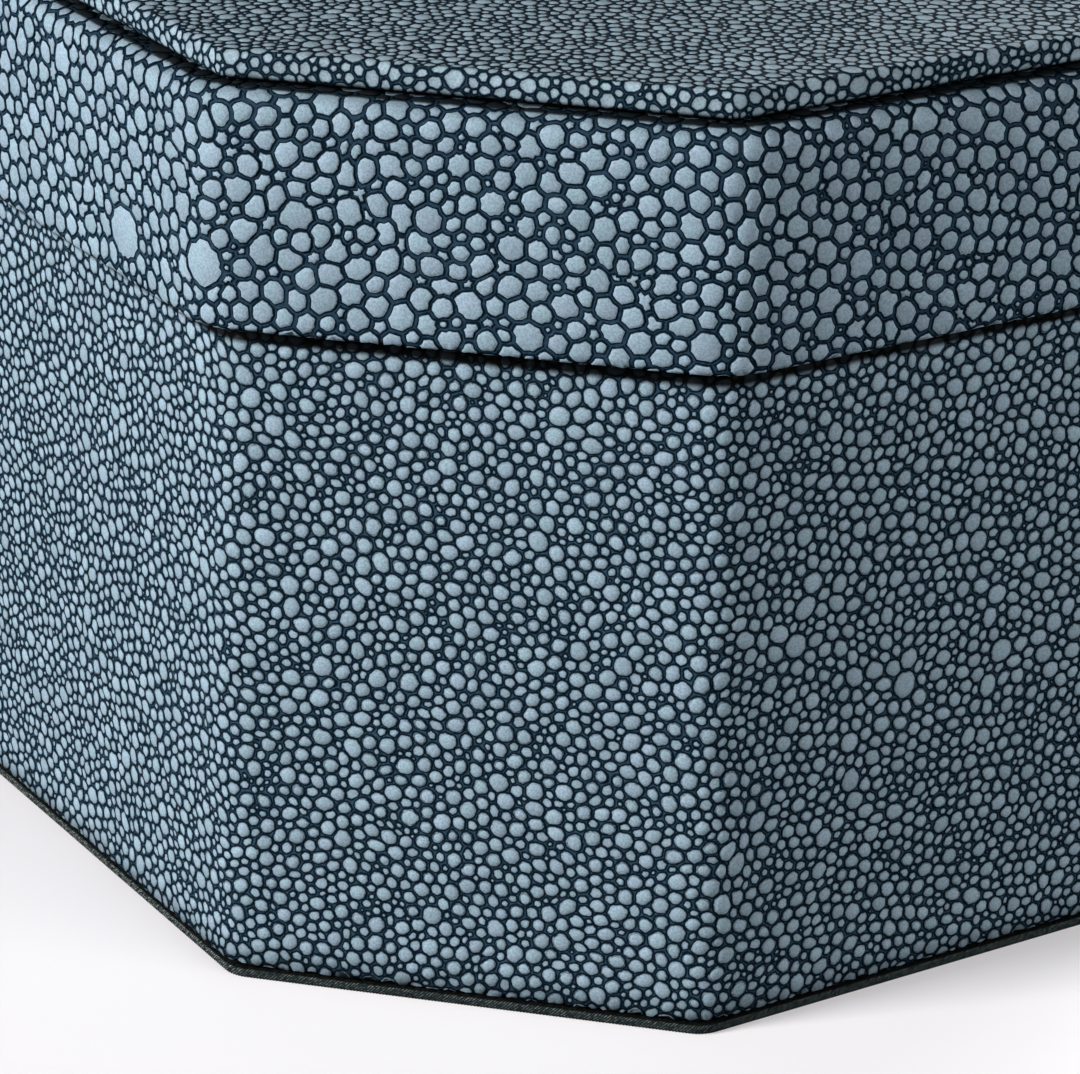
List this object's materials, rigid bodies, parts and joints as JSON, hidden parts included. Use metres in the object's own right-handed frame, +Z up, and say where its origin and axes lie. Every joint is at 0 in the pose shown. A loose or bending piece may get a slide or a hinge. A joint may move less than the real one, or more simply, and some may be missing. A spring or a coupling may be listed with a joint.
{
  "type": "faux shagreen box",
  "caption": "Eight-sided keepsake box wrapped in embossed faux shagreen, hollow inside, with a lift-off lid that fits over the body.",
  "frame": {"origin": "middle of the underside of the base board, on the surface that the box stands on", "axes": "+Z up; the main sides look along X and Y, and the cut corners look along the diagonals between them"},
  "size_m": [0.1588, 0.1588, 0.1151],
  "materials": {
    "woven_cloth": "fine dark woven cloth over board",
    "fine_shagreen": "coated fabric embossed with small round pebbles, satin blue-grey tops and dark grooves",
    "coarse_shagreen": "coated fabric embossed with large flat pebbles, satin blue-grey tops and dark grooves",
    "panel_shagreen": "coated fabric embossed with small pebbles, satin blue-grey tops and dark grooves"
  },
  "bodies": {
    "root": {"base_board": "woven_cloth", "body": "fine_shagreen", "lid": "coarse_shagreen", "top_panel": "panel_shagreen"}
  },
  "joints": []
}
